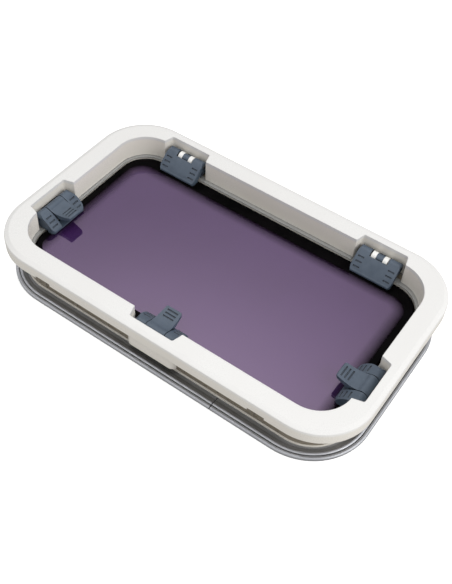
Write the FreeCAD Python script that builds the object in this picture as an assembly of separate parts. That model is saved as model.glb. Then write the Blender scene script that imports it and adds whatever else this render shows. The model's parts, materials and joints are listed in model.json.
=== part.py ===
import FreeCAD, Part
import math
import os

# Rectangular opening deck hatch, lying on its outer flange with the cabin side up.
# Millimetres. +X runs along the length, +Y points to the hinge side, +Z points into the cabin.
# The origin is the centre of the flange's outer face.

V = FreeCAD.Vector
X_AXIS = V(1, 0, 0)
Y_AXIS = V(0, 1, 0)
Z_AXIS = V(0, 0, 1)

# Whole hatch
HEIGHT = 60.0
RUNNING = 0.06            # radial clearance of a turning pin
TOUCH_GAP = 0.3           # least air between pieces that move apart

# Cabin-side trim ring
TRIM_HALF_X = 225.0
TRIM_HALF_Y = 133.4
TRIM_RADIUS = 61.0
TRIM_BEVEL = 5.5
TRIM_BEVEL_DROP = 1.85
TRIM_SHOULDER = 0.6       # the skirt leans in by this much just below the bevel
TRIM_SHOULDER_DROP = 2.4
TRIM_PLATE = 2.6
TRIM_WALL = 2.5
SKIRT_FOOT = 44.2
OPENING_HALF_X = 199.6
OPENING_HALF_Y = 109.1
OPENING_RADIUS = 38.5
TOE_TOP = 31.5
TOE_THICK = 1.2
TOE_HALF_X = 196.8
TOE_HALF_Y = 105.2
TOE_RADIUS = 34.8
SHADOW_GROOVE = 0.8
TRIM_NOTCH_LENGTH = 19.5
TRIM_NOTCH_HEIGHT = 3.0
TRIM_NOTCHES_X = (-136.3, 132.5)

# Pockets in the opening's wall that take the hinges and the latches
POCKET_DEPTH = 12.4
POCKET_BACK = 55.0        # width at the back wall
POCKET_MOUTH = 60.5       # width at the opening
POCKET_ROUND = 2.5
POCKET_LINING = 1.5       # the trim lines each pocket with a wall this thick
POCKET_BOX_IN = 1.7       # growth of a pocket that gives the inner frame's box round it
POCKET_BOX_OUT = 3.3
POCKET_FOOT = 15.5        # the pocket boxes stand this far above the outer face
HINGE_X = 132.2
LATCH_SIDE_Y = -42.0
LATCH_NEAR_X = -1.5

# Moulded inner frame behind the trim
WALL_INSIDE_Y = 113.0     # clear half-width inside its wall
WALL_OUTSET_X = 90.5      # the same wall stands this much further out along X
WALL_THICK = 3.0
WALL_RADIUS = 45.0
WALL_RECESS = 1.2
RECESS_FOOT = 7.0
RECESS_TOP = 25.0
FOOT_WIDTH = 1.2
FOOT_TOP = 6.0
DRAIN_RADIUS = 1.2
DRAIN_Z = 11.0            # drain holes through the near wall, just above its foot
DRAINS_X = (-160.0, 78.0, 146.0)
LIP_BOTTOM = 26.3
LIP_TOP = TOE_TOP - TOE_THICK
BOSS_RADIUS = 3.1
BOSS_INSET = 3.4          # from the wall's inside to the clamp screws
CLAMP_FAR_X = (-84.0, -30.0, 30.0, 84.0)
CLAMP_NEAR_X = (-146.0, -92.0, -48.0, 48.0, 112.0, 150.0)
CLAMP_SIDE_Y = (12.0, 58.0)
CLAMP_SHANK = 1.6
CLAMP_HEAD = 3.0
CLAMP_DEPTH = 1.5         # the clamp screws stop this far from the outer face

# Outer aluminium frame, one bent extrusion: section points are (half-width, height)
FRAME_CENTRE_X = 153.3    # centres of its corner bends
FRAME_CENTRE_Y = 62.5
UPSTAND_IN = 101.0
UPSTAND_OUT = 104.0
LEDGE_IN = 91.0
LEDGE_BOTTOM = 11.0
LEDGE_TOP = 14.0
FLANGE_TOP = 4.5
BUTT_X = 80.0             # where the bent extrusion's ends meet
BUTT_GAP = 1.0
SLEEVE_LENGTH = 40.0
SLEEVE_IN = UPSTAND_OUT
SLEEVE_OUT = 108.0
SLEEVE_TOP = 10.5
SLEEVE_SCREW_PITCH = 24.0
SLEEVE_SCREW_Z = 8.0
SLEEVE_SCREW_LENGTH = 6.0

# Pane
PANE_HALF_X = 195.0
PANE_HALF_Y = 103.4
PANE_RADIUS = 33.0
PANE_TOP = 30.5
PANE_THICK = 10.0
PANE_BOTTOM = PANE_TOP - PANE_THICK
PANE_EDGE = 0.8
MASK_THICK = 0.3
MASK_HALF_X = 187.0
MASK_HALF_Y = 91.5
MASK_SHIFT_Y = -3.5       # the border's clear window sits this far off the middle
MASK_RADIUS = 22.0
SEAL_IN = 92.5
SEAL_OUT = 99.0
SEAL_TOP = PANE_BOTTOM - TOUCH_GAP

# Hinges
HINGE_Y = 113.0
HINGE_Z = 45.5
LEAF_WIDTH = 50.5
LEAF_KNUCKLE = 6.3
LEAF_KNUCKLE_IN = 11.2    # from the hinge's middle to the leaf's knuckles
LEAF_FRONT_Y = 91.0
RING_OUTER = 5.8
RING_WIDTH = 5.8
RING_OFFSET = 7.15
BRACKET_KNUCKLE = 5.4
BRACKET_KNUCKLE_WIDTH = 8.3
BRACKET_FOOT_WIDTH = 46.0
BRACKET_FRONT_Y = 110.0
BRACKET_FOOT_THICK = 3.0
HINGE_PIN = 2.0
LEAF_SCREW_X = 14.0
LEAF_SCREW_Y = 96.0
BRACKET_SCREW_X = 17.0
BRACKET_SCREW_Y = 116.5

# Latches. Each is drawn with its pin along Y and the pane towards +X.
PIN_TO_BACK = 9.5         # from the lever's pin to the pocket's back wall
LEVER_Z = 43.5
BARREL_RADIUS = 7.0
LEVER_WIDTH = 23.0
LEVER_TIP_WIDTH = 19.5
LEVER_LENGTH = 31.0
BASE_WIDTH = 52.0
BASE_FRONT = 21.0
BASE_BACK = -7.0
BASE_CROWN = LEVER_Z + BARREL_RADIUS
BASE_SLOT = 24.6
BASE_FLOOR = 33.0
BASE_REST = 11.5          # the base touches the pane from here on
SHOULDER_RADIUS = 5.0
LATCH_PIN = 1.5
LATCH_PIN_LENGTH = 48.0
LATCH_SCREW_U = 14.5
LATCH_SCREW_V = 18.5
KEEPER_WIDTH = 26.0
KEEPER_BACK = -PIN_TO_BACK
KEEPER_FACE = -8.5
KEEPER_LIP = -7.9
KEEPER_LIP_BOTTOM = 36.3
KEEPER_LIP_TOP = 38.0
KEEPER_TOP = 46.0
KEEPER_SCREW_V = 8.0
KEEPER_SCREW_Z = 42.0
KEEPER_SCREW_HEAD = 2.4
KEEPER_SCREW_DEPTH = 0.9
KEEPER_SCREW_LENGTH = 4.0

# Countersunk screws that hold the hinges and latches
SCREW_SHANK = 1.5
SCREW_HEAD = 2.9
SCREW_HEAD_DEPTH = 1.6
SCREW_LENGTH = 13.5
BRACKET_SCREW_LENGTH = LIP_TOP + BRACKET_FOOT_THICK - LIP_BOTTOM
GROOVE_RADIUS = 0.9

# Latch sites: name, place of the lever's pin, and the turn that faces it to the pane
LATCH_SITES = (
    ("left", V(-OPENING_HALF_X - POCKET_DEPTH + PIN_TO_BACK, LATCH_SIDE_Y, 0), 0.0),
    ("right", V(OPENING_HALF_X + POCKET_DEPTH - PIN_TO_BACK, LATCH_SIDE_Y, 0), 180.0),
    ("near", V(LATCH_NEAR_X, -OPENING_HALF_Y - POCKET_DEPTH + PIN_TO_BACK, 0), 90.0),
)
HINGE_SITES = (("left", -HINGE_X), ("right", HINGE_X))


# ---- plain helpers -------------------------------------------------------------------

def box(x0, x1, y0, y1, z0, z1):
    """A block between two corners."""
    return Part.makeBox(x1 - x0, y1 - y0, z1 - z0, V(x0, y0, z0))


def rod(centre, axis, radius, length):
    """A cylinder centred on a point."""
    return Part.makeCylinder(radius, length, centre - axis * (length / 2), axis)


def fuse(shapes):
    """All shapes as one solid body."""
    return shapes[0].multiFuse(shapes[1:]).removeSplitter()


def outline(to_space, start, *steps):
    """A closed wire. Each step is an end point, or (middle point, end point) for an arc."""
    edges = []
    here = start
    for step in steps:
        if isinstance(step[0], tuple):
            middle, end = step
            edges.append(Part.Arc(to_space(*here), to_space(*middle), to_space(*end)).toShape())
        else:
            end = step
            edges.append(Part.makeLine(to_space(*here), to_space(*end)))
        here = end
    if here != start:
        edges.append(Part.makeLine(to_space(*here), to_space(*start)))
    return Part.Wire(edges)


def plan(x, y):
    return V(x, y, 0)


def side_xz(x, z):
    return V(x, 0, z)


def side_yz(y, z):
    return V(0, y, z)


def solid_from(wire, offset, depth):
    """The wire's face moved by offset and pushed through depth."""
    face = Part.Face(wire)
    face.translate(offset)
    return face.extrude(depth)


def rounded_wire(half_x, half_y, radius, z):
    """A rectangle with round corners, anticlockwise from its near left corner."""
    cx = half_x - radius
    cy = half_y - radius
    edges = []
    corners = ((cx, -cy, 270), (cx, cy, 0), (-cx, cy, 90), (-cx, -cy, 180))
    previous = V(-cx, -half_y, z)
    for x, y, start in corners:
        bend = Part.makeCircle(radius, V(x, y, z), Z_AXIS, start, start + 90)
        edges.append(Part.makeLine(previous, bend.valueAt(bend.FirstParameter)))
        edges.append(bend)
        previous = bend.valueAt(bend.LastParameter)
    return Part.Wire(edges)


def rounded_block(half_x, half_y, radius, z0, z1):
    """A plate with round corners between two heights."""
    return Part.Face(rounded_wire(half_x, half_y, radius, z0)).extrude(V(0, 0, z1 - z0))


def frame_sweep(start, *steps):
    """A section of (half-width, height) points carried round the outer frame's bends."""
    reference = start[0]
    radius = reference - FRAME_CENTRE_Y
    path = rounded_wire(FRAME_CENTRE_X + radius, reference, radius, start[1])

    def at_path_start(half_width, height):
        return V(-FRAME_CENTRE_X, -half_width, height)

    section = outline(at_path_start, start, *steps)
    return path.makePipeShell([section], True, False)


def at_site(shape, place, turn):
    """A copy of a latch piece, turned to face the pane and moved to its place."""
    copy = shape.copy()
    copy.rotate(V(0, 0, 0), Z_AXIS, turn)
    copy.translate(place)
    return copy


def screw(head_centre, direction, length, shank=SCREW_SHANK, head=SCREW_HEAD,
          head_depth=SCREW_HEAD_DEPTH):
    """A countersunk screw with a cross recess; direction points from the head to the tip."""
    across = direction.cross(Y_AXIS if abs(direction.y) < 0.5 else X_AXIS)
    other = direction.cross(across)
    solid = screw_hole(head_centre, direction, length, shank, head, head_depth)
    recess_depth = head_depth * 0.7
    slot = shank * 0.45
    reach = head * 0.6
    for along in (across, other):
        beside = direction.cross(along)
        corner = head_centre - along * reach - beside * (slot / 2)
        first = Part.makePolygon([corner, corner + along * (2 * reach),
                                  corner + along * (2 * reach) + beside * slot,
                                  corner + beside * slot, corner])
        solid = solid.cut(Part.Face(first).extrude(direction * recess_depth))
    return solid


def screw_hole(head_centre, direction, length, shank=SCREW_SHANK, head=SCREW_HEAD,
               head_depth=SCREW_HEAD_DEPTH):
    """The room that a countersunk screw takes, without its recess."""
    cone = Part.makeCone(head, shank, head_depth, head_centre, direction)
    return cone.fuse(Part.makeCylinder(shank, length, head_centre, direction))


# ---- pockets -------------------------------------------------------------------------

def pocket_block(growth, z0, z1):
    """One pocket's space about its mouth's middle, opening towards +X, grown by growth."""
    back = POCKET_BACK / 2 + growth
    mouth = POCKET_MOUTH / 2 + growth
    depth = POCKET_DEPTH + growth
    round_off = POCKET_ROUND + growth
    cut = round_off * 0.3
    inner = 8.0           # the block reaches this far past the mouth
    wire = outline(plan, (inner, -mouth), (inner, mouth), (0, mouth),
                   (-depth + round_off, back + growth * 0.2),
                   ((-depth + cut, back - cut), (-depth, back - round_off)),
                   (-depth, -back + round_off),
                   ((-depth + cut, -back + cut), (-depth + round_off, -back - growth * 0.2)),
                   (0, -mouth))
    return solid_from(wire, V(0, 0, z0), V(0, 0, z1 - z0))


def all_pockets(growth, z0, z1):
    """The five pockets: two for hinges on the far side and three for latches."""
    block = pocket_block(growth, z0, z1)
    mouths = [(V(x, OPENING_HALF_Y, 0), -90.0) for _, x in HINGE_SITES]
    mouths.append((V(-OPENING_HALF_X, LATCH_SIDE_Y, 0), 0.0))
    mouths.append((V(OPENING_HALF_X, LATCH_SIDE_Y, 0), 180.0))
    mouths.append((V(LATCH_NEAR_X, -OPENING_HALF_Y, 0), 90.0))
    return [at_site(block, place, turn) for place, turn in mouths]


# ---- the outer frame and what sits on it -----------------------------------------------

def clamp_points():
    """Places of the screws that pull the inner frame to the outer one."""
    y = WALL_INSIDE_Y - BOSS_INSET
    x = WALL_INSIDE_Y + WALL_OUTSET_X - BOSS_INSET
    points = [V(a, y, 0) for a in CLAMP_FAR_X]
    points += [V(a, -y, 0) for a in CLAMP_NEAR_X]
    points += [V(side * x, b, 0) for side in (-1, 1) for b in CLAMP_SIDE_Y]
    return points


def outer_frame():
    """Flange with a bead and groove, an upstand and the pane's ledge, butted at one place."""
    ring = frame_sweep(
        (UPSTAND_IN, 0.8), (UPSTAND_IN + 0.8, 0.0), (130.6, 0.0),
        ((132.4, 1.2), (132.6, 2.6)), ((131.9, 4.5), (129.9, 5.0)),
        (129.1, 5.0), (129.1, 3.9), (128.2, 3.9), (128.2, 5.0),
        ((126.4, 6.0), (124.6, 5.5)), (120.9, FLANGE_TOP),
        (UPSTAND_OUT, FLANGE_TOP), (UPSTAND_OUT, LEDGE_TOP),
        (LEDGE_IN + 0.6, LEDGE_TOP), (LEDGE_IN, LEDGE_TOP - 0.6),
        (LEDGE_IN, LEDGE_BOTTOM + 0.6), (LEDGE_IN + 0.6, LEDGE_BOTTOM),
        (UPSTAND_IN, LEDGE_BOTTOM))
    reach = 140.0
    slit = box(BUTT_X - BUTT_GAP / 2, BUTT_X + BUTT_GAP / 2, -reach, 0, -1, LEDGE_TOP + 1)
    ring = ring.cut(slit)
    for point in clamp_points():
        hole_top = V(point.x, point.y, FLANGE_TOP)
        ring = ring.cut(Part.makeCylinder(CLAMP_SHANK, FLANGE_TOP - CLAMP_DEPTH, hole_top, -Z_AXIS))
    for x in sleeve_screw_places():
        head = V(x, -UPSTAND_IN, SLEEVE_SCREW_Z)
        ring = ring.cut(screw_hole(head, -Y_AXIS, SLEEVE_SCREW_LENGTH))
    return ring


def sleeve_screw_places():
    return (BUTT_X - SLEEVE_SCREW_PITCH / 2, BUTT_X + SLEEVE_SCREW_PITCH / 2)


def frame_joint_sleeve():
    """The bar behind the butt joint that keeps the extrusion's ends in line."""
    bar = box(BUTT_X - SLEEVE_LENGTH / 2, BUTT_X + SLEEVE_LENGTH / 2,
              -SLEEVE_OUT, -SLEEVE_IN, FLANGE_TOP, SLEEVE_TOP)
    for x in sleeve_screw_places():
        bar = bar.cut(rod(V(x, -SLEEVE_IN, SLEEVE_SCREW_Z), Y_AXIS, SCREW_SHANK,
                          SLEEVE_SCREW_LENGTH))
    return bar


def joint_sleeve_screws():
    """Two screws through the upstand into the sleeve."""
    heads = [V(x, -UPSTAND_IN, SLEEVE_SCREW_Z) for x in sleeve_screw_places()]
    return Part.makeCompound([screw(head, -Y_AXIS, SLEEVE_SCREW_LENGTH) for head in heads])


def pane_seal():
    """A hollow-backed rubber bulb all round the ledge, just under the pane."""
    return frame_sweep(
        (SEAL_IN, LEDGE_TOP), (SEAL_OUT, LEDGE_TOP), (SEAL_OUT, LEDGE_TOP + 2.2),
        (SEAL_OUT - 0.6, LEDGE_TOP + 2.8),
        ((SEAL_OUT - 3.2, SEAL_TOP), (SEAL_IN + 0.6, LEDGE_TOP + 2.8)),
        (SEAL_IN, LEDGE_TOP + 2.2))


# ---- the inner frame -------------------------------------------------------------------

def wall_recesses():
    """Long shallow recesses moulded into the outside of the inner frame's wall."""
    face_y = WALL_INSIDE_Y + WALL_THICK
    face_x = face_y + WALL_OUTSET_X
    far_spans = ((-96, -52), (-48, -4), (4, 48), (52, 96))
    near_spans = ((-152, -112), (-108, -68), (-64, -38), (36, 66), (90, 118), (122, 152))
    side_spans = ((-4, 28), (32, 62))
    cuts = []
    for a, b in far_spans:
        cuts.append(box(a, b, face_y - WALL_RECESS, face_y + 1, RECESS_FOOT, RECESS_TOP))
    for a, b in near_spans:
        cuts.append(box(a, b, -face_y - 1, -face_y + WALL_RECESS, RECESS_FOOT, RECESS_TOP))
    for a, b in side_spans:
        cuts.append(box(face_x - WALL_RECESS, face_x + 1, a, b, RECESS_FOOT, RECESS_TOP))
        cuts.append(box(-face_x - 1, -face_x + WALL_RECESS, a, b, RECESS_FOOT, RECESS_TOP))
    return cuts


def inner_frame():
    """White moulded frame: wall, foot, the lip round the pane, pocket boxes and screw bosses."""
    top = HEIGHT - TRIM_PLATE
    inside_x = WALL_INSIDE_Y + WALL_OUTSET_X
    outside_x = inside_x + WALL_THICK
    outside_y = WALL_INSIDE_Y + WALL_THICK
    outer_radius = WALL_RADIUS + WALL_THICK
    mass = rounded_block(outside_x, outside_y, outer_radius, FLANGE_TOP, top)
    foot = rounded_block(outside_x + FOOT_WIDTH, outside_y + FOOT_WIDTH,
                         outer_radius + FOOT_WIDTH, FLANGE_TOP, FOOT_TOP)
    mass = fuse([mass, foot] + all_pockets(POCKET_BOX_OUT, POCKET_FOOT, top))
    floor_cuts = [rounded_block(inside_x, WALL_INSIDE_Y, WALL_RADIUS, LIP_TOP, top + 1)]
    floor_cuts += all_pockets(POCKET_BOX_IN, LIP_TOP, top + 1)
    floor_cuts.append(rounded_block(inside_x, WALL_INSIDE_Y, WALL_RADIUS, 0, LIP_BOTTOM))
    floor_cuts += all_pockets(POCKET_BOX_IN, POCKET_FOOT - 1, LIP_BOTTOM)
    floor_cuts.append(rounded_block(TOE_HALF_X, TOE_HALF_Y, TOE_RADIUS, 0, top + 1))
    frame = mass.cut(floor_cuts[0])
    for cut in floor_cuts[1:] + wall_recesses():
        frame = frame.cut(cut)
    bosses = [Part.makeCylinder(BOSS_RADIUS, LIP_BOTTOM - FLANGE_TOP, V(p.x, p.y, FLANGE_TOP))
              for p in clamp_points()]
    webs = [boss_web(p) for p in clamp_points()]
    frame = fuse([frame] + bosses + webs)
    for point in clamp_points():
        head = V(point.x, point.y, LIP_TOP)
        frame = frame.cut(screw_hole(head, -Z_AXIS, LIP_TOP, CLAMP_SHANK, CLAMP_HEAD))
    for _, x in HINGE_SITES:
        for head in bracket_screw_heads(x):
            frame = frame.cut(Part.makeCylinder(SCREW_SHANK, BRACKET_SCREW_LENGTH + 1, head,
                                                -Z_AXIS))
    frame = drill_for_keepers(frame)
    for x in DRAINS_X:
        drain = rod(V(x, -WALL_INSIDE_Y, DRAIN_Z), Y_AXIS, DRAIN_RADIUS, 4 * WALL_THICK)
        frame = frame.cut(drain)
    return frame


def drill_for_keepers(solid):
    """Holes for the keepers' screws through the pockets' back walls."""
    for _, place, turn in LATCH_SITES:
        for head in keeper_screw_heads():
            hole = Part.makeCylinder(SCREW_SHANK, KEEPER_SCREW_LENGTH + 1, head, -X_AXIS)
            solid = solid.cut(at_site(hole, place, turn))
    return solid


def boss_web(point):
    """A rib that ties a screw boss to the wall beside it."""
    rib = 1.2
    bottom = FLANGE_TOP + 4
    if abs(point.y) > TOE_HALF_Y:
        y0, y1 = sorted((point.y, math.copysign(WALL_INSIDE_Y + 0.5, point.y)))
        return box(point.x - rib, point.x + rib, y0, y1, bottom, LIP_BOTTOM)
    x0, x1 = sorted((point.x, math.copysign(WALL_INSIDE_Y + WALL_OUTSET_X + 0.5, point.x)))
    return box(x0, x1, point.y - rib, point.y + rib, bottom, LIP_BOTTOM)


def clamp_screws():
    """Long screws from the lip down into the aluminium flange, hidden by the trim's toe."""
    return Part.makeCompound([screw(V(p.x, p.y, LIP_TOP), -Z_AXIS, LIP_TOP - CLAMP_DEPTH,
                                    CLAMP_SHANK, CLAMP_HEAD) for p in clamp_points()])


# ---- the trim ----------------------------------------------------------------------------

def trim_taper(*steps):
    """A block as large as the trim whose sides lean in, through (inset, height) steps."""
    wires = [rounded_wire(TRIM_HALF_X - inset, TRIM_HALF_Y - inset, TRIM_RADIUS - inset, z)
             for inset, z in steps]
    return Part.makeLoft(wires, True, True)


def inner_trim():
    """The white cover ring: bevelled top, outer skirt, opening wall and a toe over the lip."""
    bevel_z = HEIGHT - TRIM_BEVEL_DROP
    plate_z = HEIGHT - TRIM_PLATE
    shoulder_z = bevel_z - TRIM_SHOULDER_DROP
    shell = rounded_block(TRIM_HALF_X, TRIM_HALF_Y, TRIM_RADIUS, SKIRT_FOOT, shoulder_z)
    shoulder = trim_taper((0, shoulder_z), (TRIM_SHOULDER, bevel_z))
    bevel = trim_taper((TRIM_SHOULDER, bevel_z), (TRIM_BEVEL, HEIGHT))
    shell = fuse([shell, shoulder, bevel])
    shell = shell.cut(rounded_block(TRIM_HALF_X - TRIM_WALL, TRIM_HALF_Y - TRIM_WALL,
                                    TRIM_RADIUS - TRIM_WALL, SKIRT_FOOT - 1, plate_z))
    wall = rounded_block(OPENING_HALF_X + TRIM_WALL, OPENING_HALF_Y + TRIM_WALL,
                         OPENING_RADIUS + TRIM_WALL, LIP_TOP, plate_z)
    trim = fuse([shell, wall] + all_pockets(POCKET_LINING, LIP_TOP, plate_z))
    trim = trim.cut(rounded_block(OPENING_HALF_X, OPENING_HALF_Y, OPENING_RADIUS,
                                  TOE_TOP, HEIGHT + 1))
    trim = trim.cut(rounded_block(TOE_HALF_X, TOE_HALF_Y, TOE_RADIUS, 0, HEIGHT + 1))
    trim = trim.cut(rounded_block(OPENING_HALF_X + SHADOW_GROOVE, OPENING_HALF_Y + SHADOW_GROOVE,
                                  OPENING_RADIUS + SHADOW_GROOVE, TOE_TOP, TOE_TOP + SHADOW_GROOVE))
    for pocket in all_pockets(0, TOE_TOP, HEIGHT + 1) + all_pockets(0, LIP_TOP - 1, TOE_TOP + 0.1):
        trim = trim.cut(pocket)
    for x in TRIM_NOTCHES_X:
        trim = trim.cut(box(x - TRIM_NOTCH_LENGTH / 2, x + TRIM_NOTCH_LENGTH / 2,
                            -TRIM_HALF_Y - 1, -TRIM_HALF_Y + TRIM_WALL + 1,
                            SKIRT_FOOT - 1, SKIRT_FOOT + TRIM_NOTCH_HEIGHT))
    return drill_for_keepers(trim)


# ---- hinges ------------------------------------------------------------------------------

def leaf_top_arc():
    """The leaf's gently crowned top, from its front edge up to the knuckle."""
    lean = math.radians(130)
    end = V(0, HINGE_Y + LEAF_KNUCKLE * math.cos(lean), HINGE_Z + LEAF_KNUCKLE * math.sin(lean))
    return Part.Arc(V(0, LEAF_FRONT_Y + 0.6, 34.9), V(0, 101.2, 44.4), end)


def hinge_leaf(x):
    """The pane's half of a hinge: a wedge up to two knuckles, with three grooves a side."""
    arc = leaf_top_arc()
    low = arc.value(arc.FirstParameter)
    middle = arc.value((arc.FirstParameter + arc.LastParameter) / 2)
    high = arc.value(arc.LastParameter)
    wire = outline(side_yz, (LEAF_FRONT_Y, PANE_TOP), ((LEAF_FRONT_Y - 0.8, 32.6), (low.y, low.z)),
                   ((middle.y, middle.z), (high.y, high.z)), (HINGE_Y, HINGE_Z),
                   (108.6, 40.8), (104.6, 36.6), (101.2, 34.0), (101.2, PANE_TOP))
    half = LEAF_WIDTH / 2
    leaf = solid_from(wire, V(-half, 0, 0), V(LEAF_WIDTH, 0, 0))
    knuckle = half - LEAF_KNUCKLE_IN
    middle_x = (half + LEAF_KNUCKLE_IN) / 2
    for side in (-1, 1):
        leaf = leaf.fuse(rod(V(side * middle_x, HINGE_Y, HINGE_Z), X_AXIS, LEAF_KNUCKLE, knuckle))
    axis_point = V(0, HINGE_Y, HINGE_Z)
    leaf = leaf.cut(rod(axis_point, X_AXIS, LEAF_KNUCKLE + 0.8, 2 * LEAF_KNUCKLE_IN))
    leaf = leaf.common(leaf_plan_outline()).common(leaf_front_outline())
    leaf = leaf.cut(rod(axis_point, X_AXIS, HINGE_PIN + RUNNING, LEAF_WIDTH + 1))
    for share in (0.16, 0.42, 0.68):
        point = arc.value(arc.FirstParameter + share * (arc.LastParameter - arc.FirstParameter))
        for side in (-1, 1):
            centre = V(side * (half - 6.6), point.y, point.z)
            leaf = leaf.cut(rod(centre, X_AXIS, GROOVE_RADIUS, 7.6))
    for head in leaf_screw_heads(0):
        leaf = leaf.cut(Part.makeCylinder(SCREW_SHANK, SCREW_LENGTH, head))
    leaf.translate(V(x, 0, 0))
    return leaf


def leaf_plan_outline():
    """Seen from above the leaf has round front corners."""
    half = LEAF_WIDTH / 2
    front = LEAF_FRONT_Y - 2
    back = HINGE_Y + LEAF_KNUCKLE + 1
    r = 6.0
    mid = r * (1 - math.sqrt(0.5))
    wire = outline(plan, (-half + r, front), (half - r, front),
                   ((half - mid, front + mid), (half, front + r)), (half, back), (-half, back),
                   (-half, front + r), ((-half + mid, front + mid), (-half + r, front)))
    return solid_from(wire, V(0, 0, PANE_TOP - 1), V(0, 0, HEIGHT))


def leaf_front_outline():
    """Seen from the front the knuckles' outer ends are rounded off at the top."""
    half = LEAF_WIDTH / 2
    top = HINGE_Z + LEAF_KNUCKLE
    r = 3.0
    mid = r * (1 - math.sqrt(0.5))
    wire = outline(side_xz, (-half, PANE_TOP - 1), (half, PANE_TOP - 1), (half, top - r),
                   ((half - mid, top - mid), (half - r, top)), (-half + r, top),
                   ((-half + mid, top - mid), (-half, top - r)))
    return solid_from(wire, V(0, LEAF_FRONT_Y - 5, 0), V(0, 60, 0))


def leaf_screw_heads(x):
    return [V(x + side * LEAF_SCREW_X, LEAF_SCREW_Y, PANE_BOTTOM) for side in (-1, 1)]


def bracket_screw_heads(x):
    z = LIP_TOP + BRACKET_FOOT_THICK
    return [V(x + side * BRACKET_SCREW_X, BRACKET_SCREW_Y, z) for side in (-1, 1)]


def hinge_bracket(x):
    """The frame's half of a hinge: a foot on the pocket's floor and one middle knuckle."""
    foot_top = LIP_TOP + BRACKET_FOOT_THICK
    back = OPENING_HALF_Y + POCKET_DEPTH
    half = BRACKET_FOOT_WIDTH / 2
    foot = box(-half, half, BRACKET_FRONT_Y, back, LIP_TOP, foot_top)
    k = BRACKET_KNUCKLE_WIDTH
    arm = box(-k / 2, k / 2, HINGE_Y - 2.0, back, foot_top - 1, HINGE_Z)
    rib = box(-half, half, back - 1.6, back, LIP_TOP, foot_top + 4)
    knuckle = rod(V(0, HINGE_Y, HINGE_Z), X_AXIS, BRACKET_KNUCKLE, k)
    bracket = fuse([foot, arm, rib, knuckle])
    bracket = bracket.cut(rod(V(0, HINGE_Y, HINGE_Z), X_AXIS, HINGE_PIN, k + 1))
    for head in bracket_screw_heads(0):
        bracket = bracket.cut(screw_hole(head, -Z_AXIS, BRACKET_SCREW_LENGTH))
    bracket.translate(V(x, 0, 0))
    return bracket


def hinge_pin(x):
    pin = rod(V(x, HINGE_Y, HINGE_Z), X_AXIS, HINGE_PIN, LEAF_WIDTH - 1)
    return pin.makeChamfer(0.4, [e for e in pin.Edges if e.Closed])


def hinge_rings(x):
    """Two white nylon bushes between the bracket's knuckle and the leaf's."""
    rings = []
    for side in (-1, 1):
        centre = V(x + side * RING_OFFSET, HINGE_Y, HINGE_Z)
        ring = rod(centre, X_AXIS, RING_OUTER, RING_WIDTH)
        ring = ring.makeChamfer(0.5, [e for e in ring.Edges if e.Closed])
        rings.append(ring.cut(rod(centre, X_AXIS, HINGE_PIN, RING_WIDTH + 1)))
    return Part.makeCompound(rings)


def hinge_bracket_screws():
    heads = [head for _, x in HINGE_SITES for head in bracket_screw_heads(x)]
    return Part.makeCompound([screw(head, -Z_AXIS, BRACKET_SCREW_LENGTH) for head in heads])


def hinge_leaf_screws():
    heads = [head for _, x in HINGE_SITES for head in leaf_screw_heads(x)]
    return Part.makeCompound([screw(head, Z_AXIS, SCREW_LENGTH) for head in heads])


# ---- latches -------------------------------------------------------------------------------

def base_front_arc():
    """The arms' crowned front, from the top down to the nose."""
    return Part.Arc(V(0, 0, BASE_CROWN), V(12.0, 0, 44.2), V(BASE_FRONT - 0.5, 0, 34.6))


def latch_base():
    """Two round-shouldered arms on the pane's edge with the lever's slot between them."""
    arc = base_front_arc()
    middle = arc.value((arc.FirstParameter + arc.LastParameter) / 2)
    wire = outline(side_xz, (BASE_BACK, BASE_FLOOR), (BASE_BACK, 44.6), ((-4.8, 48.8), (0, BASE_CROWN)),
                   ((middle.x, middle.z), (BASE_FRONT - 0.5, 34.6)),
                   ((BASE_FRONT, 32.4), (BASE_FRONT - 0.8, PANE_TOP)),
                   (BASE_REST, PANE_TOP), (BASE_REST, BASE_FLOOR))
    half = BASE_WIDTH / 2
    base = solid_from(wire, V(0, -half, 0), V(0, BASE_WIDTH, 0))
    base = base.common(base_plan_outline()).common(base_shoulder_outline())
    slot = BASE_SLOT / 2
    base = base.cut(box(BASE_BACK - 1, BASE_REST, -slot, slot, 0, HEIGHT))
    base = base.cut(box(BASE_REST - 1, BASE_FRONT + 1, -slot, slot, BASE_FLOOR, HEIGHT))
    base = base.cut(rod(V(0, 0, LEVER_Z), Y_AXIS, LATCH_PIN, BASE_WIDTH + 1))
    arm_middle = (half + slot) / 2
    for share in (0.36, 0.58, 0.80):
        point = arc.value(arc.FirstParameter + share * (arc.LastParameter - arc.FirstParameter))
        for side in (-1, 1):
            centre = V(point.x, side * arm_middle, point.z)
            base = base.cut(rod(centre, Y_AXIS, GROOVE_RADIUS, 8.0))
    for head in latch_screw_heads():
        base = base.cut(Part.makeCylinder(SCREW_SHANK, SCREW_LENGTH, head))
    return base


def base_plan_outline():
    """Seen from above the base has round front corners."""
    half = BASE_WIDTH / 2
    back = BASE_BACK - 1
    r = 5.0
    mid = r * (1 - math.sqrt(0.5))
    wire = outline(plan, (back, -half), (BASE_FRONT - r, -half),
                   ((BASE_FRONT - mid, -half + mid), (BASE_FRONT, -half + r)),
                   (BASE_FRONT, half - r), ((BASE_FRONT - mid, half - mid), (BASE_FRONT - r, half)),
                   (back, half))
    return solid_from(wire, V(0, 0, PANE_TOP - 1), V(0, 0, HEIGHT))


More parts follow.
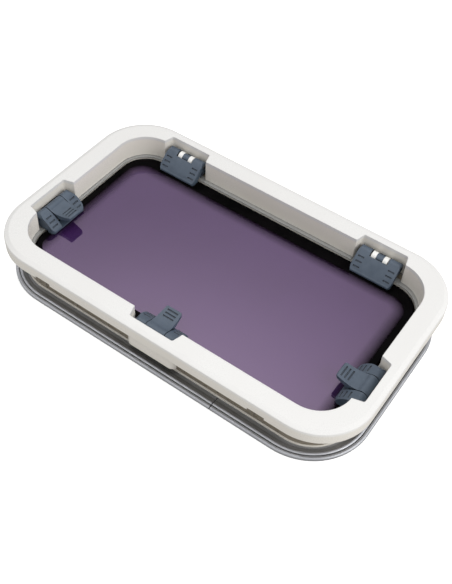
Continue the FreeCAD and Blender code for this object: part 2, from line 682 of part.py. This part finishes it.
def base_shoulder_outline():
    """Seen along the pane the arms' outer top corners are rounded."""
    half = BASE_WIDTH / 2
    top = BASE_CROWN
    r = SHOULDER_RADIUS
    mid = r * (1 - math.sqrt(0.5))
    wire = outline(side_yz, (-half, PANE_TOP - 1), (half, PANE_TOP - 1), (half, top - r),
                   ((half - mid, top - mid), (half - r, top)), (-half + r, top),
                   ((-half + mid, top - mid), (-half, top - r)))
    return solid_from(wire, V(BASE_BACK - 5, 0, 0), V(60, 0, 0))


def latch_screw_heads():
    return [V(LATCH_SCREW_U, side * LATCH_SCREW_V, PANE_BOTTOM) for side in (-1, 1)]


def latch_lever():
    """A round barrel, a dished thumb paddle with three grooves, and a hook under the barrel."""
    half = LEVER_WIDTH / 2
    z = LEVER_Z
    paddle = outline(side_xz, (0, z + BARREL_RADIUS), ((5.2, z + 5.0), (11.0, z + 3.9)),
                     ((20.0, z + 4.4), (LEVER_LENGTH - 1.6, z + 6.4)),
                     ((LEVER_LENGTH, z + 4.8), (LEVER_LENGTH - 1.0, z + 2.6)),
                     ((18.0, z - 1.6), (5.0, z - 4.8)), (0, z))
    lever = solid_from(paddle, V(0, -half, 0), V(0, LEVER_WIDTH, 0))
    lever = lever.fuse(rod(V(0, 0, z), Y_AXIS, BARREL_RADIUS, LEVER_WIDTH))
    lever = lever.common(lever_plan_outline())
    hook = outline(side_xz, (-4.4, z - 5.0), (-3.6, z - 7.6), (-6.8, z - 8.2),
                   ((-7.0, z - 9.4), (-5.6, z - 10.4)), (0.6, z - 10.2), (2.4, z - 6.0), (0, z - 3))
    hook_half = 7.0
    lever = lever.fuse(solid_from(hook, V(0, -hook_half, 0), V(0, 2 * hook_half, 0)))
    lever = lever.removeSplitter()
    lever = lever.cut(rod(V(0, 0, z), Y_AXIS, LATCH_PIN + RUNNING, LEVER_WIDTH + 1))
    crown = Part.Arc(V(11.0, 0, z + 3.9), V(20.0, 0, z + 4.4), V(LEVER_LENGTH - 1.6, 0, z + 6.4))
    for share in (0.40, 0.62, 0.84):
        point = crown.value(crown.FirstParameter
                            + share * (crown.LastParameter - crown.FirstParameter))
        lever = lever.cut(rod(point, Y_AXIS, GROOVE_RADIUS, 13.0))
    return lever


def lever_plan_outline():
    """Seen from above the lever tapers to its tip, which has round corners."""
    root = LEVER_WIDTH / 2
    tip = LEVER_TIP_WIDTH / 2
    r = 3.5
    mid = r * (1 - math.sqrt(0.5))
    end = LEVER_LENGTH
    back = -BARREL_RADIUS - 1
    wire = outline(plan, (back, -root), (6, -root), (end - r, -tip),
                   ((end - mid, -tip + mid), (end, -tip + r)), (end, tip - r),
                   ((end - mid, tip - mid), (end - r, tip)), (6, root), (back, root))
    return solid_from(wire, V(0, 0, PANE_TOP), V(0, 0, HEIGHT))


def latch_pin():
    pin = rod(V(0, 0, LEVER_Z), Y_AXIS, LATCH_PIN, LATCH_PIN_LENGTH)
    return pin.makeChamfer(0.3, [e for e in pin.Edges if e.Closed])


def latch_keeper():
    """A steel strike on the pocket's back wall with a lip that the hook passes under."""
    half = KEEPER_WIDTH / 2
    plate = box(KEEPER_BACK, KEEPER_FACE, -half, half, LIP_TOP + 1, KEEPER_TOP)
    lip = box(KEEPER_BACK, KEEPER_LIP, -half + 3, half - 3, KEEPER_LIP_BOTTOM, KEEPER_LIP_TOP)
    keeper = fuse([plate, lip])
    for head in keeper_screw_heads():
        keeper = keeper.cut(screw_hole(head, -X_AXIS, KEEPER_SCREW_LENGTH,
                                       head=KEEPER_SCREW_HEAD, head_depth=KEEPER_SCREW_DEPTH))
    return keeper


def keeper_screw_heads():
    return [V(KEEPER_FACE, side * KEEPER_SCREW_V, KEEPER_SCREW_Z) for side in (-1, 1)]


def at_each_latch(pieces):
    """A group of equal solids repeated at the three latches."""
    return Part.makeCompound([at_site(piece, place, turn)
                              for _, place, turn in LATCH_SITES for piece in pieces])


# ---- the pane ------------------------------------------------------------------------------

def pane_screw_heads():
    """Screw heads on the pane's outer face, under the hinge leaves and latch bases."""
    heads = [head for _, x in HINGE_SITES for head in leaf_screw_heads(x)]
    for _, place, turn in LATCH_SITES:
        turned = FreeCAD.Rotation(Z_AXIS, turn)
        heads += [turned.multVec(head) + place for head in latch_screw_heads()]
    return heads


def acrylic_pane():
    """Tinted pane with eased edges, drilled for its fittings and set back for the black border."""
    blank = rounded_block(PANE_HALF_X, PANE_HALF_Y, PANE_RADIUS, PANE_BOTTOM, PANE_TOP)
    rims = [e for e in blank.Edges if abs(e.BoundBox.ZMin - e.BoundBox.ZMax) < 0.01]
    pane = blank.makeChamfer(PANE_EDGE, rims)
    pane = pane.cut(mask_ring())
    for head in pane_screw_heads():
        pane = pane.cut(screw_hole(head, Z_AXIS, PANE_THICK + 1))
    return pane


def mask_ring():
    """The room of the black border, a thin layer on the pane's cabin face."""
    edge = PANE_EDGE + 0.2
    outer = rounded_block(PANE_HALF_X - edge, PANE_HALF_Y - edge, PANE_RADIUS - edge,
                          PANE_TOP - MASK_THICK, PANE_TOP)
    window = rounded_block(MASK_HALF_X, MASK_HALF_Y, MASK_RADIUS, PANE_TOP - 1, PANE_TOP + 1)
    window.translate(V(0, MASK_SHIFT_Y, 0))
    return outer.cut(window)


def border_mask():
    """The black border itself, with its screw holes."""
    mask = mask_ring()
    for head in pane_screw_heads():
        mask = mask.cut(Part.makeCylinder(SCREW_SHANK, PANE_THICK + 1, head))
    return mask


# ---- all sub-parts -------------------------------------------------------------------------

def build():
    """Every sub-part by name."""
    nodes = {
        "outer_frame": outer_frame(),
        "frame_joint_sleeve": frame_joint_sleeve(),
        "joint_sleeve_screws": joint_sleeve_screws(),
        "pane_seal": pane_seal(),
        "inner_frame": inner_frame(),
        "clamp_screws": clamp_screws(),
        "inner_trim": inner_trim(),
        "hinge_bracket_screws": hinge_bracket_screws(),
        "acrylic_pane": acrylic_pane(),
        "border_mask": border_mask(),
        "hinge_leaf_screws": hinge_leaf_screws(),
    }
    for name, x in HINGE_SITES:
        nodes["hinge_leaf_" + name] = hinge_leaf(x)
        nodes["hinge_bracket_" + name] = hinge_bracket(x)
        nodes["hinge_pin_" + name] = hinge_pin(x)
        nodes["hinge_rings_" + name] = hinge_rings(x)
    pieces = {"latch_base_": latch_base(), "latch_lever_": latch_lever(),
              "latch_pin_": latch_pin(), "latch_keeper_": latch_keeper()}
    for name, place, turn in LATCH_SITES:
        for prefix, piece in pieces.items():
            nodes[prefix + name] = at_site(piece, place, turn)
    nodes["latch_base_screws"] = at_each_latch(
        [screw(head, Z_AXIS, SCREW_LENGTH) for head in latch_screw_heads()])
    nodes["keeper_screws"] = at_each_latch(
        [screw(head, -X_AXIS, KEEPER_SCREW_LENGTH, head=KEEPER_SCREW_HEAD,
               head_depth=KEEPER_SCREW_DEPTH) for head in keeper_screw_heads()])
    return nodes


os.makedirs("parts", exist_ok=True)
for node, shape in build().items():
    if not shape.isValid():
        raise ValueError(node + " is not a valid solid")
    print(node, len(shape.Solids), round(shape.Volume, 1))
    shape.exportStep("parts/" + node + ".step")
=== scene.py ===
import json
import math

import bpy
from mathutils import Matrix, Vector

# Looks for the rectangular deck hatch. Metres, in the CAD model's own frame:
# +X along the hatch, +Y towards the hinges, +Z into the cabin, with the floor at Z = 0.

MM = 0.001

# Camera: where it looks, from which side, and how far off
CAMERA_AIM = Vector((0.0312, -0.0385, 0.060))
CAMERA_AZIMUTH = math.radians(32.0)
CAMERA_ELEVATION = math.radians(50.2)
CAMERA_ROLL = math.radians(4.2)
CAMERA_DISTANCE = 0.881
CAMERA_LENS = 52.9
CAMERA_NEAREST = 10 * MM

# Lines of the hatch that its finishes follow
BEND_CENTRE = (153.3 * MM, 62.5 * MM)        # centres of the extrusion's corner bends
FADE_CENTRE = (0.0, -12.0 * MM, 0.0)         # the pane's clear tint is a rounded rectangle here
FADE_CORNER = (165.0 * MM, 78.0 * MM)        # centres of its corners
FADE_RADIUS = 22.0 * MM
SHADOW_FADE = 15.0 * MM                      # over this width inwards the tint darkens to black, a painted shadow of the frame seen through the pane
WALL_OUT = (51.2 * MM, 57.5 * MM)            # the inner frame's wall, outwards from the bends
SHADE_WALL_Z = (6.1 * MM, 44.0 * MM)               # and the heights between which painted brown shade covers it
TRIM_TOP_Z = 60.0 * MM
TOE_TOP_Z = 31.5 * MM                        # top of the grey lip at the foot of the trim's wall
TOE_FOOT_Z = 30.3 * MM

# A sheer panel overhead whose reflection brightens the pane
GLOW_PLACE = Vector((-0.45, 0.0, 1.5))
GLOW_SIZE = (2.6, 3.0)
GLOW_STRENGTH = 2.0

FLOOR_SIZE = 14.0
FLOOR_GLOW = 0.55                            # lifts the floor to white without lighting the hatch

# Softboxes: where they stand, how large they are, and their power in watts
LIGHT_AIM = Vector((0.0, 0.0, 0.03))
KEY_PLACE = Vector((2.2, 0.2, 1.3))
KEY_SIZE = (1.6, 1.6)
KEY_POWER = 26.0
OVERHEAD_PLACE = Vector((-0.3, 0.5, 1.9))
OVERHEAD_SIZE = (2.4, 2.0)
OVERHEAD_POWER = 2.0

# Brightness of the studio below, at and above the horizon
SKY_BELOW = 0.54
SKY_LEVEL = 0.74
SKY_TOP = 1.08
SKY_RISE = (0.55, 0.92)                      # sines of the elevations between which it brightens
SKY_HORIZON = 0.05                           # the horizon is soft by this sine either way
SKY_COLOUR = (1.0, 0.99, 0.975, 1.0)

# Most of a noise lies between these values
NOISE_LOW = 0.3
NOISE_HIGH = 0.7

# Cosines of the turn that rounding gives a flat stretch and a sharp edge
FLAT_COSINE = 0.995
EDGE_COSINE = 0.86


# ---- node helpers ----------------------------------------------------------------------

class Finish:
    """A material with one Principled surface and short ways to add nodes to it."""

    def __init__(self, name, **constants):
        self.material = bpy.data.materials.new(name)
        self.material.use_nodes = True
        self.tree = self.material.node_tree
        self.tree.nodes.clear()
        output = self.tree.nodes.new("ShaderNodeOutputMaterial")
        self.surface = self.tree.nodes.new("ShaderNodeBsdfPrincipled")
        self.tree.links.new(self.surface.outputs["BSDF"], output.inputs["Surface"])
        for socket, value in constants.items():
            self.surface.inputs[socket.replace("_", " ")].default_value = value

    def node(self, kind, inputs=None, **settings):
        """A new node; inputs maps a socket's name or number to a value or another socket."""
        made = self.tree.nodes.new(kind)
        for key, value in settings.items():
            setattr(made, key, value)
        for key, value in (inputs or {}).items():
            if isinstance(value, bpy.types.NodeSocket):
                self.tree.links.new(value, made.inputs[key])
            else:
                made.inputs[key].default_value = value
        return made

    def drive(self, socket, source):
        """Link a node's output to one of the surface's sockets."""
        self.tree.links.new(source, self.surface.inputs[socket])

    def place(self):
        """The point on the piece in the CAD frame, which moves with the piece."""
        return self.node("ShaderNodeTexCoord").outputs["Object"]

    def maths(self, operation, a, b):
        """The result of a sum on two numbers or sockets."""
        return self.node("ShaderNodeMath", {0: a, 1: b}, operation=operation).outputs[0]

    def vectors(self, operation, a, b=(0.0, 0.0, 0.0)):
        """A vector sum's node, whose output the caller picks."""
        return self.node("ShaderNodeVectorMath", {0: a, 1: b}, operation=operation)

    def noise(self, vector, size, detail=3.0, roughness=0.55):
        """Noise from 0 to 1 with features about size metres across."""
        made = self.node("ShaderNodeTexNoise",
                         {"Vector": vector, "Scale": 1.0 / size, "Detail": detail,
                          "Roughness": roughness})
        return made.outputs[0]

    def spread(self, source, low_in, high_in, low_out=0.0, high_out=1.0, ease="SMOOTHSTEP"):
        """A clamped change from one range to another, smooth unless ease is LINEAR."""
        made = self.node("ShaderNodeMapRange",
                         {"Value": source, "From Min": low_in, "From Max": high_in,
                          "To Min": low_out, "To Max": high_out},
                         interpolation_type=ease)
        return made.outputs["Result"]

    def stretch(self, noise, low_out=0.0, high_out=1.0):
        """The usual values of a noise stretched from low_out to high_out."""
        return self.spread(noise, NOISE_LOW, NOISE_HIGH, low_out, high_out)

    def blend(self, share, first, second):
        """A colour between two colours or colour sockets."""
        made = self.node("ShaderNodeMix", data_type="RGBA")
        colours = [s for s in made.inputs if s.type == "RGBA"]
        self.tree.links.new(share, made.inputs["Factor"])
        for socket, value in zip(colours, (first, second)):
            if isinstance(value, bpy.types.NodeSocket):
                self.tree.links.new(value, socket)
            else:
                socket.default_value = (*value, 1.0)
        return next(s for s in made.outputs if s.type == "RGBA")

    def soft_edges(self, radius):
        """The surface's direction with its sharp edges rounded off by radius."""
        return self.node("ShaderNodeBevel", {"Radius": radius}, samples=4).outputs["Normal"]

    def edge_share(self, rounded):
        """0 on flat stretches and up to 1 along the edges that soft_edges rounds."""
        plain = self.node("ShaderNodeNewGeometry").outputs["Normal"]
        same = self.vectors("DOT_PRODUCT", rounded, plain).outputs["Value"]
        return self.spread(same, FLAT_COSINE, EDGE_COSINE)

    def crevices(self, reach, closed, wide_open):
        """1 in the open and falling to 0 deep in gaps narrower than reach."""
        made = self.node("ShaderNodeAmbientOcclusion", {"Distance": reach}, samples=8)
        return self.spread(made.outputs["AO"], closed, wide_open)

    def relief(self, height, depth, normal, strength):
        """Bump from a height socket, depth metres high, on top of a given direction."""
        made = self.node("ShaderNodeBump",
                         {"Height": height, "Distance": depth, "Strength": strength,
                          "Normal": normal})
        return made.outputs["Normal"]

    def outward(self, centre, middle=(0.0, 0.0, 0.0)):
        """Distance outwards from the corner centres of a rounded rectangle about middle."""
        point = self.vectors("SUBTRACT", self.place(), middle).outputs[0]
        point = self.vectors("ABSOLUTE", point).outputs[0]
        beyond = self.vectors("SUBTRACT", point, (*centre, 1.0)).outputs[0]
        beyond = self.vectors("MAXIMUM", beyond).outputs[0]
        return self.vectors("LENGTH", beyond).outputs["Value"]

    def height(self):
        """Height above the floor in the CAD frame."""
        return self.node("ShaderNodeSeparateXYZ", {0: self.place()}).outputs["Z"]


# ---- the finishes ----------------------------------------------------------------------

def anodised_aluminium():
    """Satin anodising with draw lines that follow the bent extrusion all the way round, and painted
    shade darkening its deep gaps.
    """
    look = Finish("anodised_aluminium", Metallic=1.0)
    across = look.outward(BEND_CENTRE)
    section = look.node("ShaderNodeCombineXYZ", {"X": across, "Y": look.height()}).outputs[0]
    lines = look.noise(section, 0.5 * MM, detail=5.0, roughness=0.7)
    cloud = look.noise(look.place(), 35 * MM)
    speck = look.noise(look.place(), 1.2 * MM, detail=2.0)
    dark_line, pale_line = (0.40, 0.41, 0.44), (0.60, 0.61, 0.64)
    clouded, bare_metal, deep_shade = (0.33, 0.34, 0.37), (0.80, 0.81, 0.82), (0.070, 0.070, 0.068)
    tone = look.blend(look.stretch(lines), dark_line, pale_line)
    tone = look.blend(look.spread(cloud, 0.35, 0.75, 0.0, 0.25), tone, clouded)
    rounded = look.soft_edges(0.35 * MM)
    worn = look.maths("MULTIPLY", look.edge_share(rounded), look.spread(speck, 0.4, 0.65))
    tone = look.blend(worn, tone, bare_metal)
    # painted shade: deep in gaps, such as at the foot of the inner frame's wall, the metal darkens to
    # near black
    open_share = look.crevices(24 * MM, 0.3, 0.72)
    look.drive("Base Color", look.blend(open_share, deep_shade, tone))
    look.drive("Roughness", look.spread(look.maths("ADD", lines, speck), 0.7, 1.3, 0.48, 0.64))
    look.drive("Normal", look.relief(lines, 0.02 * MM, rounded, 0.5))
    return look.material


def white_plastic():
    """Off-white gloss moulding, creamier in the well from painted warm bounce light, with painted
    brown shade on the wall under the skirt.
    """
    look = Finish("white_plastic", IOR=1.5, Coat_Weight=0.15, Coat_Roughness=0.12)
    cloud = look.noise(look.place(), 60 * MM, detail=4.0)
    grain = look.noise(look.place(), 0.9 * MM, detail=4.0, roughness=0.6)
    top_pale, top_dull = (0.775, 0.775, 0.77), (0.76, 0.757, 0.75)
    cream_pale, cream_dull = (0.84, 0.81, 0.75), (0.81, 0.775, 0.71)
    shade_brown_dark, shade_brown_pale = (0.21, 0.18, 0.136), (0.26, 0.226, 0.175)
    lip_grey, rubbed_white = (0.34, 0.345, 0.34), (0.90, 0.90, 0.89)
    top = look.blend(look.stretch(cloud), top_pale, top_dull)
    # painted light: below the top edge the plastic turns to a creamier copy of itself, standing in
    # for warm bounce light in the well
    low = look.blend(look.stretch(cloud), cream_pale, cream_dull)
    height = look.height()
    tone = look.blend(look.spread(height, TRIM_TOP_Z - 1.5 * MM, TRIM_TOP_Z - 6 * MM), top, low)
    lip = look.maths("MULTIPLY", look.spread(height, TOE_TOP_Z + 0.3 * MM, TOE_TOP_Z),
                     look.spread(height, TOE_FOOT_Z - 0.6 * MM, TOE_FOOT_Z - 0.2 * MM))
    tone = look.blend(lip, tone, lip_grey)
    # painted shade: the inner frame's wall under the skirt is coloured dark brown where shadow falls
    across = look.outward(BEND_CENTRE)
    wall = look.maths("MULTIPLY", look.spread(across, WALL_OUT[0], WALL_OUT[0] + 0.5 * MM),
                      look.spread(across, WALL_OUT[1] + 0.5 * MM, WALL_OUT[1]))
    shade_band = look.maths("MULTIPLY", look.spread(height, SHADE_WALL_Z[0], SHADE_WALL_Z[0] + 0.3 * MM),
                      look.spread(height, SHADE_WALL_Z[1], SHADE_WALL_Z[1] - 4 * MM))
    brown = look.blend(look.stretch(grain), shade_brown_dark, shade_brown_pale)
    tone = look.blend(look.maths("MULTIPLY", wall, shade_band), tone, brown)
    rounded = look.soft_edges(1.2 * MM)
    rubbed = look.maths("MULTIPLY", look.edge_share(rounded), look.spread(grain, 0.45, 0.7))
    look.drive("Base Color", look.blend(look.maths("MULTIPLY", rubbed, 0.5), tone, rubbed_white))
    look.drive("Roughness", look.spread(look.maths("ADD", grain, cloud), 0.75, 1.25, 0.24, 0.38))
    look.drive("Normal", look.relief(grain, 0.012 * MM, rounded, 0.5))
    return look.material


def blue_grey_plastic():
    """Slate moulded plastic with a fine spark-eroded grain, paler rubbed edges and painted shade in
    its grooves.
    """
    look = Finish("blue_grey_plastic", IOR=1.45)
    cloud = look.noise(look.place(), 12 * MM, detail=4.0)
    grain = look.noise(look.place(), 0.35 * MM, detail=3.0, roughness=0.65)
    fleck = look.noise(look.place(), 1.1 * MM, detail=5.0, roughness=0.75)
    slate_dark, slate_pale = (0.056, 0.079, 0.113), (0.075, 0.101, 0.139)
    flecked, rubbed_pale, deep_shade = (0.16, 0.19, 0.235), (0.20, 0.235, 0.28), (0.010, 0.013, 0.018)
    tone = look.blend(look.stretch(cloud), slate_dark, slate_pale)
    tone = look.blend(look.spread(fleck, 0.62, 0.78, 0.0, 0.4), tone, flecked)
    rounded = look.soft_edges(0.4 * MM)
    rubbed = look.maths("MULTIPLY", look.edge_share(rounded), look.spread(fleck, 0.38, 0.62))
    tone = look.blend(look.maths("MULTIPLY", rubbed, 0.7), tone, rubbed_pale)
    # painted shade: deep in grooves and narrow gaps the slate darkens to near black
    open_share = look.crevices(2.5 * MM, 0.5, 0.92)
    look.drive("Base Color", look.blend(open_share, deep_shade, tone))
    look.drive("Roughness", look.spread(look.maths("ADD", grain, cloud), 0.7, 1.3, 0.36, 0.54))
    look.drive("Normal", look.relief(grain, 0.03 * MM, rounded, 0.5))
    return look.material


def white_nylon():
    """Waxy white rings with fine turning marks round their axis."""
    look = Finish("white_nylon", IOR=1.53)
    turned = look.vectors("MULTIPLY", look.place(), (1.0, 0.02, 0.02)).outputs[0]
    marks = look.noise(turned, 0.25 * MM, detail=3.0)
    cloud = look.noise(look.place(), 4 * MM)
    fresh, dull = (0.90, 0.90, 0.89), (0.84, 0.84, 0.82)
    look.drive("Base Color", look.blend(look.stretch(cloud), fresh, dull))
    look.drive("Roughness", look.stretch(marks, 0.28, 0.42))
    look.drive("Normal", look.relief(marks, 0.01 * MM, look.soft_edges(0.3 * MM), 0.5))
    return look.material


def tinted_acrylic():
    """Polished violet-grey acrylic whose tint darkens to black towards the border, a painted shadow
    of the frame seen through the pane.
    """
    look = Finish("tinted_acrylic", IOR=1.6, Alpha=0.93, Coat_IOR=1.6, Coat_Roughness=0.02,
                  Specular_Tint=(0.92, 0.68, 1.0, 1.0))
    inside = look.maths("SUBTRACT", FADE_RADIUS, look.outward(FADE_CORNER, FADE_CENTRE))
    cloud = look.noise(look.place(), 90 * MM, detail=2.0)
    haze = look.noise(look.place(), 6 * MM, detail=5.0, roughness=0.7)
    hair = look.noise(look.vectors("MULTIPLY", look.place(), (0.15, 1.0, 1.0)).outputs[0],
                      1.4 * MM, detail=6.0, roughness=0.75)
    violet_dark, violet_pale = (0.040, 0.013, 0.074), (0.046, 0.016, 0.084)
    shadow_black = (0.002, 0.001, 0.001)
    tint = look.blend(look.stretch(cloud), violet_dark, violet_pale)
    ragged = look.maths("ADD", inside, look.spread(haze, 0.2, 0.8, -0.5 * MM, 0.5 * MM))
    # painted shadow: towards the border the tint darkens to black and reflects less
    shadow_fade = look.spread(ragged, 0.0, SHADOW_FADE, ease="LINEAR")
    look.drive("Base Color", look.blend(shadow_fade, shadow_black, tint))
    look.drive("Specular IOR Level", look.maths("MULTIPLY", shadow_fade, 0.8))
    look.drive("Coat Weight", look.maths("MULTIPLY", shadow_fade, 0.45))
    marks = look.maths("MULTIPLY", look.spread(hair, 0.60, 0.78), look.spread(haze, 0.4, 0.7))
    look.drive("Roughness", look.spread(look.maths("ADD", marks, haze), 0.3, 1.8, 0.03, 0.12))
    look.drive("Normal", look.relief(haze, 0.004 * MM, look.soft_edges(0.4 * MM), 0.15))
    return look.material


def black_border():
    """Glossy black border with the faint orange-peel of a printed coat."""
    look = Finish("black_border", IOR=1.5, Specular_IOR_Level=0.02)
    peel = look.noise(look.place(), 1.6 * MM, detail=3.0)
    cloud = look.noise(look.place(), 25 * MM)
    jet, off_black = (0.0010, 0.0010, 0.0012), (0.0030, 0.0026, 0.0030)
    look.drive("Base Color", look.blend(look.stretch(cloud), jet, off_black))
    look.drive("Roughness", look.stretch(peel, 0.16, 0.28))
    look.drive("Normal", look.relief(peel, 0.006 * MM, look.soft_edges(0.1 * MM), 0.2))
    return look.material


def black_rubber():
    """Matt extruded rubber with long draw lines and a pale bloom."""
    look = Finish("black_rubber", IOR=1.45)
    section = look.node("ShaderNodeCombineXYZ", {"X": look.outward(BEND_CENTRE),
                                                 "Y": look.height()}).outputs[0]
    lines = look.noise(section, 0.4 * MM, detail=4.0)
    bloom = look.noise(look.place(), 9 * MM, detail=5.0, roughness=0.65)
    black, bloomed = (0.018, 0.018, 0.019), (0.045, 0.045, 0.046)
    look.drive("Base Color", look.blend(look.spread(bloom, 0.45, 0.75), black, bloomed))
    look.drive("Roughness", look.stretch(bloom, 0.62, 0.82))
    look.drive("Normal", look.relief(lines, 0.03 * MM, look.soft_edges(0.3 * MM), 0.6))
    return look.material


def stainless_steel():
    """Bright machined steel with fine turning marks and a few duller specks."""
    look = Finish("stainless_steel", Metallic=1.0)
    turned = look.vectors("MULTIPLY", look.place(), (1.0, 0.08, 0.3)).outputs[0]
    marks = look.noise(turned, 0.3 * MM, detail=4.0, roughness=0.7)
    speck = look.noise(look.place(), 1.5 * MM, detail=4.0)
    bright, dull = (0.62, 0.61, 0.59), (0.46, 0.45, 0.44)
    look.drive("Base Color", look.blend(look.spread(speck, 0.35, 0.7), bright, dull))
    look.drive("Roughness", look.spread(look.maths("ADD", marks, speck), 0.7, 1.3, 0.18, 0.36))
    look.drive("Normal", look.relief(marks, 0.01 * MM, look.soft_edges(0.15 * MM), 0.4))
    return look.material


FINISHES = {
    "anodised_aluminium": anodised_aluminium,
    "white_plastic": white_plastic,
    "blue_grey_plastic": blue_grey_plastic,
    "white_nylon": white_nylon,
    "tinted_acrylic": tinted_acrylic,
    "black_border": black_border,
    "black_rubber": black_rubber,
    "stainless_steel": stainless_steel,
}


def dress(frame):
    """Give every CAD node the finish of its slot in the record."""
    made = {slot: build() for slot, build in FINISHES.items()}
    for part in frame["record"]["subparts"]:
        for holder in frame["nodes"][part["node"]].material_slots:
            holder.material = made[part["material_slot"]]


# ---- floor, light and camera -----------------------------------------------------------

def level_sheet(name, width, depth):
    """A level rectangle centred on the origin."""
    half_x, half_y = width / 2, depth / 2
    corners = [(-half_x, -half_y, 0), (half_x, -half_y, 0), (half_x, half_y, 0), (-half_x, half_y, 0)]
    mesh = bpy.data.meshes.new(name)
    mesh.from_pydata(corners, [], [(0, 1, 2, 3)])
    sheet = bpy.data.objects.new(name, mesh)
    bpy.context.scene.collection.objects.link(sheet)
    return sheet


def lay_floor():
    """A plain pale floor, faintly clouded, that neither lights the hatch nor shows in it."""
    floor = level_sheet("floor", FLOOR_SIZE, FLOOR_SIZE)
    look = Finish("floor_white", IOR=1.3)
    cloud = look.noise(look.place(), 0.8)
    pale, paler = (0.93, 0.93, 0.93), (0.95, 0.95, 0.95)
    look.drive("Base Color", look.blend(look.stretch(cloud), pale, paler))
    look.drive("Roughness", look.stretch(cloud, 0.8, 0.9))
    look.surface.inputs["Emission Color"].default_value = (1.0, 1.0, 1.0, 1.0)
    look.surface.inputs["Emission Strength"].default_value = FLOOR_GLOW
    floor.data.materials.append(look.material)
    floor.visible_diffuse = False
    floor.visible_glossy = False


def pointed_at(place, aim, roll=0.0):
    """A matrix that stands at place and looks at aim along its own -Z."""
    turn = (aim - place).to_track_quat("-Z", "Y").to_matrix().to_4x4()
    return Matrix.Translation(place) @ turn @ Matrix.Rotation(roll, 4, "Z")


def soft_box(name, place, size, power):
    """A rectangular softbox that faces the hatch."""
    lamp = bpy.data.lights.new(name, "AREA")
    lamp.shape = "RECTANGLE"
    lamp.size, lamp.size_y = size
    lamp.energy = power
    holder = bpy.data.objects.new(name, lamp)
    bpy.context.scene.collection.objects.link(holder)
    holder.matrix_world = pointed_at(place, LIGHT_AIM)
    return holder


def hang_glow():
    """A sheer bright panel overhead, fading to its edges, seen only in reflections."""
    width, depth = GLOW_SIZE
    panel = level_sheet("glow", width, depth)
    panel.location = GLOW_PLACE
    look = Finish("glow_light")
    shrunk = look.vectors("DIVIDE", look.place(), (width / 2, depth / 2, 1.0)).outputs[0]
    across = look.vectors("LENGTH", shrunk).outputs["Value"]
    strength = look.spread(across, 1.0, 0.0, 0.0, GLOW_STRENGTH)
    light = look.node("ShaderNodeEmission", {"Strength": strength}).outputs[0]
    clear = look.node("ShaderNodeBsdfTransparent").outputs[0]
    both = look.node("ShaderNodeAddShader", {0: light, 1: clear}).outputs[0]
    output = next(n for n in look.tree.nodes if n.type == "OUTPUT_MATERIAL")
    look.tree.links.new(both, output.inputs["Surface"])
    look.tree.nodes.remove(look.surface)
    panel.data.materials.append(look.material)
    panel.visible_camera = False
    panel.visible_diffuse = False
    panel.visible_shadow = False


def ramp(tree, source, starts, ends, ease="LINEAR"):
    """A clamped change of source from the range starts to the range ends."""
    made = tree.nodes.new("ShaderNodeMapRange")
    made.interpolation_type = ease
    tree.links.new(source, made.inputs["Value"])
    for socket, value in zip(("From Min", "From Max", "To Min", "To Max"), (*starts, *ends)):
        made.inputs[socket].default_value = value
    return made.outputs["Result"]


def light_room():
    """A white studio: an even surround, a softbox to the right and a weak one overhead."""
    world = bpy.data.worlds.new("studio")
    bpy.context.scene.world = world
    world.use_nodes = True
    tree = world.node_tree
    background = tree.nodes["Background"]
    background.inputs["Color"].default_value = SKY_COLOUR
    direction = tree.nodes.new("ShaderNodeTexCoord").outputs["Generated"]
    split = tree.nodes.new("ShaderNodeSeparateXYZ")
    tree.links.new(direction, split.inputs[0])
    rise = split.outputs["Z"]
    above = ramp(tree, rise, SKY_RISE, (SKY_LEVEL, SKY_TOP), ease="SMOOTHSTEP")
    below = ramp(tree, rise, (-SKY_HORIZON, SKY_HORIZON), (SKY_BELOW / SKY_LEVEL, 1.0))
    strength = tree.nodes.new("ShaderNodeMath")
    strength.operation = "MULTIPLY"
    tree.links.new(above, strength.inputs[0])
    tree.links.new(below, strength.inputs[1])
    tree.links.new(strength.outputs[0], background.inputs["Strength"])
    soft_box("right_key", KEY_PLACE, KEY_SIZE, KEY_POWER)
    overhead = soft_box("overhead", OVERHEAD_PLACE, OVERHEAD_SIZE, OVERHEAD_POWER)
    overhead.visible_glossy = False


def place_camera():
    """The camera looks down on the hatch from its near right corner."""
    lens = bpy.data.cameras.new("camera")
    lens.lens = CAMERA_LENS
    lens.clip_start = CAMERA_NEAREST
    camera = bpy.data.objects.new("camera", lens)
    bpy.context.scene.collection.objects.link(camera)
    level = math.cos(CAMERA_ELEVATION)
    away = Vector((level * math.sin(CAMERA_AZIMUTH), -level * math.cos(CAMERA_AZIMUTH),
                   math.sin(CAMERA_ELEVATION)))
    camera.matrix_world = pointed_at(CAMERA_AIM + away * CAMERA_DISTANCE, CAMERA_AIM, CAMERA_ROLL)
    bpy.context.scene.camera = camera
    bpy.context.scene.view_settings.view_transform = "Standard"


# ---- the scene -------------------------------------------------------------------------

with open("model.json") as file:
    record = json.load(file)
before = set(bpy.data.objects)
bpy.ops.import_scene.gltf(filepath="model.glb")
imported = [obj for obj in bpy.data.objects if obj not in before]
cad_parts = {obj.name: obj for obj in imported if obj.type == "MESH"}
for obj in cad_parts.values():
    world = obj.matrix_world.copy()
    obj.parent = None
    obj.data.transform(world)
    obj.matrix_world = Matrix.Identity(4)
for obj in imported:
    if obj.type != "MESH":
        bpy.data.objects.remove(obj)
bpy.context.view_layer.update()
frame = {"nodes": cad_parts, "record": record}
dress(frame)
lay_floor()
light_room()
hang_glow()
place_camera()
